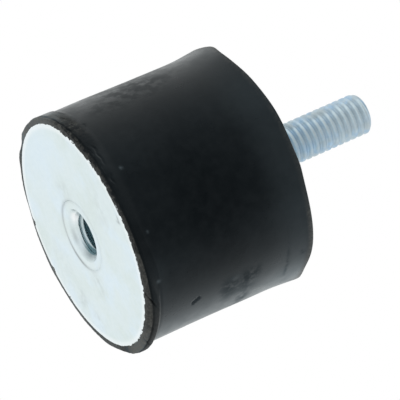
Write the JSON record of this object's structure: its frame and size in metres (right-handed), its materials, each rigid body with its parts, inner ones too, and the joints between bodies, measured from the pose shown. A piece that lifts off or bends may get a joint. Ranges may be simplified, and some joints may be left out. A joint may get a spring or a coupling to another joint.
{
  "type": "rubber buffer",
  "caption": "Cylindrical rubber buffer with steel end discs, a blind tapped hole at one end and a threaded stud at the other.",
  "frame": {"origin": "centre of the tapped end's face, on which the buffer stands", "axes": "+Z along the buffer's axis from the tapped end towards the stud; +X and +Y are any square directions in the face, the picture being taken from the -Y side"},
  "size_m": [0.0575, 0.0574, 0.0762],
  "materials": {
    "rubber": "matt moulded natural rubber, lip trimmed by knife",
    "zinc_plate": "clear zinc plate, satin with faint blue and grey clouds",
    "zinc_bush": "clear zinc plate on a turned face",
    "zinc_stud": "bright blue zinc plate on a rolled thread"
  },
  "bodies": {
    "root": {"rubber_body": "rubber", "tapped_plate": "zinc_plate", "threaded_bush": "zinc_bush", "stud_plate": "zinc_plate", "threaded_stud": "zinc_stud"}
  },
  "joints": []
}
